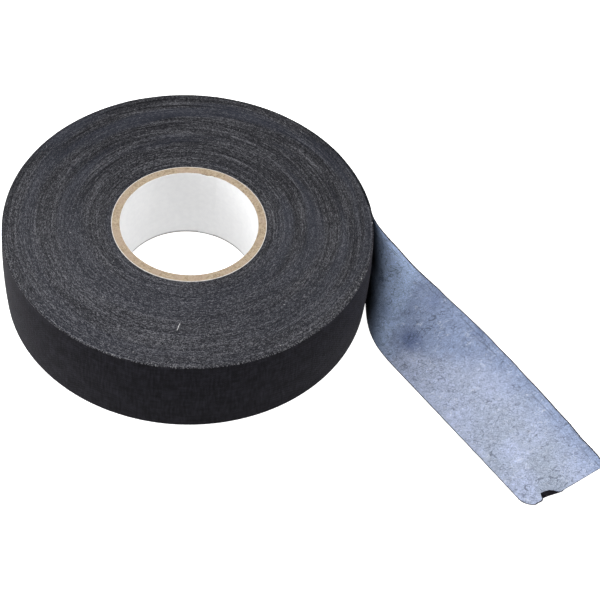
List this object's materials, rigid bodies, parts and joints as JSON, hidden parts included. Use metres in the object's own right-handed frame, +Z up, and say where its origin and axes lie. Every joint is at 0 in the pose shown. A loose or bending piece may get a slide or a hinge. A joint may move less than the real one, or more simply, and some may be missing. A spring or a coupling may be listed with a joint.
{
  "type": "grip tape roll",
  "caption": "Roll of black cloth grip tape wound on a paper core, with its free end peeled off and leaning outwards on the table.",
  "frame": {"origin": "on the axis of the core's bore, at the roll's lower face, where it rests on the table", "axes": "+Z up along the bore, through the roll's width; +X towards the line where the free end leaves the roll; the free end runs towards -Y"},
  "size_m": [0.16, 0.1283, 0.025],
  "materials": {
    "white_paper": "satin",
    "kraft_board": "matte",
    "wrap_paper": "matte",
    "wound_edges": "matte",
    "black_cloth": "matte",
    "adhesive": "satin"
  },
  "bodies": {
    "roll": {"core_inner_liner": "white_paper", "core_ply_1": "kraft_board", "core_ply_2": "kraft_board", "core_ply_3": "kraft_board", "core_ply_4": "kraft_board", "core_outer_wrap": "wrap_paper", "wound_tape": "wound_edges", "outer_turn_cloth": "black_cloth", "outer_turn_adhesive": "adhesive"},
    "lift_4": {"lift_4_cloth": "black_cloth", "lift_4_adhesive": "adhesive"},
    "lift_3": {"lift_3_cloth": "black_cloth", "lift_3_adhesive": "adhesive"},
    "lift_2": {"lift_2_cloth": "black_cloth", "lift_2_adhesive": "adhesive"},
    "lift_1": {"lift_1_cloth": "black_cloth", "lift_1_adhesive": "adhesive"},
    "tail_1": {"tail_1_cloth": "black_cloth", "tail_1_adhesive": "adhesive"},
    "tail_2": {"tail_2_cloth": "black_cloth", "tail_2_adhesive": "adhesive"},
    "tail_3": {"tail_3_cloth": "black_cloth", "tail_3_adhesive": "adhesive"},
    "tail_4": {"tail_4_cloth": "black_cloth", "tail_4_adhesive": "adhesive"},
    "tail_5": {"tail_5_cloth": "black_cloth", "tail_5_adhesive": "adhesive"}
  },
  "joints": [
    {"name": "peel_line_4", "type": "hinge", "parent": "roll", "child": "lift_4", "pos_m": [-0.00877, 0.05064, 0], "axis": [0, 0, 1], "range_deg": [0, 22.5]},
    {"name": "peel_line_3", "type": "hinge", "parent": "lift_4", "child": "lift_3", "pos_m": [0.01128, 0.05017, 0], "axis": [0, 0, 1], "range_deg": [0, 22.5]},
    {"name": "peel_line_2", "type": "hinge", "parent": "lift_3", "child": "lift_2", "pos_m": [0.02962, 0.04206, 0], "axis": [0, 0, 1], "range_deg": [0, 22.5]},
    {"name": "peel_line_1", "type": "hinge", "parent": "lift_2", "child": "lift_1", "pos_m": [0.04346, 0.02755, 0], "axis": [0, 0, 1], "range_deg": [0, 22.5]},
    {"name": "free_end_swing", "type": "hinge", "parent": "lift_1", "child": "tail_1", "pos_m": [0.0507, 0.00885, 0], "axis": [0, 0, 1], "range_deg": [0, 60]},
    {"name": "free_end_curl_1", "type": "hinge", "parent": "tail_1", "child": "tail_2", "pos_m": [0.05157, -0.01208, 0.00006], "axis": [-0.4571, -0.0262, -0.889], "range_deg": [0, 30]},
    {"name": "free_end_curl_2", "type": "hinge", "parent": "tail_2", "child": "tail_3", "pos_m": [0.05954, -0.03118, 0.0001], "axis": [-0.5907, -0.4213, -0.6881], "range_deg": [0, 30]},
    {"name": "free_end_curl_3", "type": "hinge", "parent": "tail_3", "child": "tail_4", "pos_m": [0.07174, -0.04828, 0.0001], "axis": [-0.6187, -0.4413, -0.6499], "range_deg": [0, 30]},
    {"name": "free_end_curl_4", "type": "hinge", "parent": "tail_4", "child": "tail_5", "pos_m": [0.08393, -0.06538, 0.00009], "axis": [-0.5437, -0.3878, -0.7443], "range_deg": [0, 30]}
  ]
}
